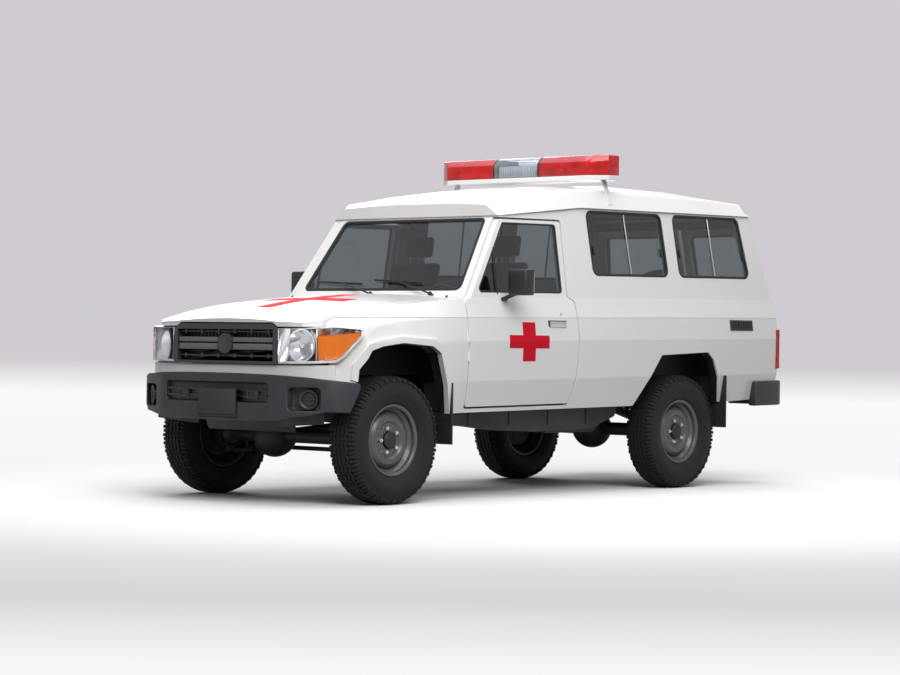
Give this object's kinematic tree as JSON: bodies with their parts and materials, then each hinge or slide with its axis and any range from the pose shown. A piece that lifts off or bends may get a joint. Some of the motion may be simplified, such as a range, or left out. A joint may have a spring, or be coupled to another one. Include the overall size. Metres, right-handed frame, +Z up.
{
  "type": "four-wheel-drive ambulance",
  "caption": "Long-wheelbase off-road hardtop ambulance on a ladder frame, with a roof light bar, opening doors, bonnet, steered front wheels and a rear spare.",
  "frame": {"origin": "on the ground, under the middle of the overall box", "axes": "+X forward, +Y to the vehicle's left, +Z up"},
  "size_m": [5.09, 2.08, 2.2568],
  "materials": {
    "tyre": "matte black rubber",
    "wheel_steel": "silver grey paint",
    "white_paint": "gloss white enamel",
    "underbody": "satin black chassis paint",
    "cast_iron": "grey casting",
    "exhaust_steel": "aluminised steel",
    "glass": "tinted safety glass",
    "bumper_plastic": "grained dark grey plastic",
    "black_plastic": "grained black plastic",
    "grille_plastic": "satin grey plastic",
    "lamp_glass": "clear lamp cover",
    "red_lens": "clear red lens",
    "rubber": "matte rubber",
    "seat_fabric": "grey seat cloth",
    "trim_grey": "grey interior plastic",
    "mattress_vinyl": "dark blue vinyl",
    "stretcher_tube": "satin tube"
  },
  "bodies": {
    "body": {"body_sides": "white_paint", "dashboard": "trim_grey", "engine_and_gearbox": "cast_iron", "exhaust": "exhaust_steel", "floor": "underbody", "front_axle": "underbody", "front_bumper": "bumper_plastic", "front_panel": "white_paint", "front_seats": "seat_fabric", "front_wings": "white_paint", "fuel_tank": "underbody", "grille": "grille_plastic", "headlamps": "lamp_glass", "inner_wings": "underbody", "ladder_frame": "underbody", "lightbar_base": "white_paint", "lightbar_lenses": "red_lens", "mud_flaps": "rubber", "propeller_shafts": "underbody", "rear_axle": "underbody", "rear_bumpers": "bumper_plastic", "roof": "white_paint", "side_windows": "glass", "springs": "underbody", "stretcher": "stretcher_tube", "stretcher_mattress": "mattress_vinyl", "tail_lamps": "red_lens", "windscreen": "glass", "windscreen_frame": "white_paint", "wipers": "black_plastic"},
    "door_left": {"door_left": "white_paint", "door_glass_left": "glass", "mirror_left": "black_plastic"},
    "door_right": {"door_right": "white_paint", "door_glass_right": "glass", "mirror_right": "black_plastic"},
    "rear_door_left": {"rear_door_left": "white_paint", "rear_glass_left": "glass"},
    "rear_door_right": {"rear_door_right": "white_paint", "rear_glass_right": "glass", "tyre_spare": "tyre", "rim_spare": "wheel_steel"},
    "bonnet": {"bonnet": "white_paint"},
    "knuckle_left": {"knuckle_left": "cast_iron"},
    "knuckle_right": {"knuckle_right": "cast_iron"},
    "tie_rod": {"tie_rod": "underbody"},
    "wheel_front_left": {"tyre_front_left": "tyre", "rim_front_left": "wheel_steel"},
    "wheel_front_right": {"tyre_front_right": "tyre", "rim_front_right": "wheel_steel"},
    "wheel_rear_left": {"tyre_rear_left": "tyre", "rim_rear_left": "wheel_steel"},
    "wheel_rear_right": {"tyre_rear_right": "tyre", "rim_rear_right": "wheel_steel"}
  },
  "joints": [
    {"name": "steer_left", "type": "hinge", "parent": "body", "child": "knuckle_left", "pos_m": [1.81, 0.62, 0.39], "axis": [0, 0, 1], "range_deg": [-30, 30]},
    {"name": "steer_right", "type": "hinge", "parent": "body", "child": "knuckle_right", "pos_m": [1.81, -0.62, 0.39], "axis": [0, 0, 1], "range_deg": [-30, 30]},
    {"name": "tie_rod_slide", "type": "slide", "parent": "body", "child": "tie_rod", "axis": [0, -1, 0], "range_m": [-0.0895, 0.0895]},
    {"name": "door_left_hinge", "type": "hinge", "parent": "body", "child": "door_left", "pos_m": [1.164, 0.8477, 0.95], "axis": [0, 0, -1], "range_deg": [0, 65]},
    {"name": "door_right_hinge", "type": "hinge", "parent": "body", "child": "door_right", "pos_m": [1.164, -0.8477, 0.95], "axis": [0, 0, 1], "range_deg": [0, 65]},
    {"name": "rear_door_left_hinge", "type": "hinge", "parent": "body", "child": "rear_door_left", "pos_m": [-2.2535, 0.721, 1.02], "axis": [0, 0, -1], "range_deg": [0, 90]},
    {"name": "rear_door_right_hinge", "type": "hinge", "parent": "body", "child": "rear_door_right", "pos_m": [-2.2535, -0.721, 1.02], "axis": [0, 0, 1], "range_deg": [0, 90]},
    {"name": "bonnet_hinge", "type": "hinge", "parent": "body", "child": "bonnet", "pos_m": [1.168, 0, 1.27093], "axis": [0, -1, 0], "range_deg": [0, 50]},
    {"name": "front_left_spin", "type": "hinge", "parent": "knuckle_left", "child": "wheel_front_left", "pos_m": [1.81, 0.73, 0.39], "axis": [0, 1, 0], "continuous": true},
    {"name": "front_right_spin", "type": "hinge", "parent": "knuckle_right", "child": "wheel_front_right", "pos_m": [1.81, -0.73, 0.39], "axis": [0, 1, 0], "continuous": true},
    {"name": "rear_left_spin", "type": "hinge", "parent": "body", "child": "wheel_rear_left", "pos_m": [-1.17, 0.69, 0.39], "axis": [0, 1, 0], "continuous": true},
    {"name": "rear_right_spin", "type": "hinge", "parent": "body", "child": "wheel_rear_right", "pos_m": [-1.17, -0.69, 0.39], "axis": [0, 1, 0], "continuous": true}
  ],
  "couplings": [
    {"joint": "steer_right", "follows": "steer_left", "ratio": 1},
    {"joint": "tie_rod_slide", "follows": "steer_left", "m_per_rad": 0.17}
  ]
}
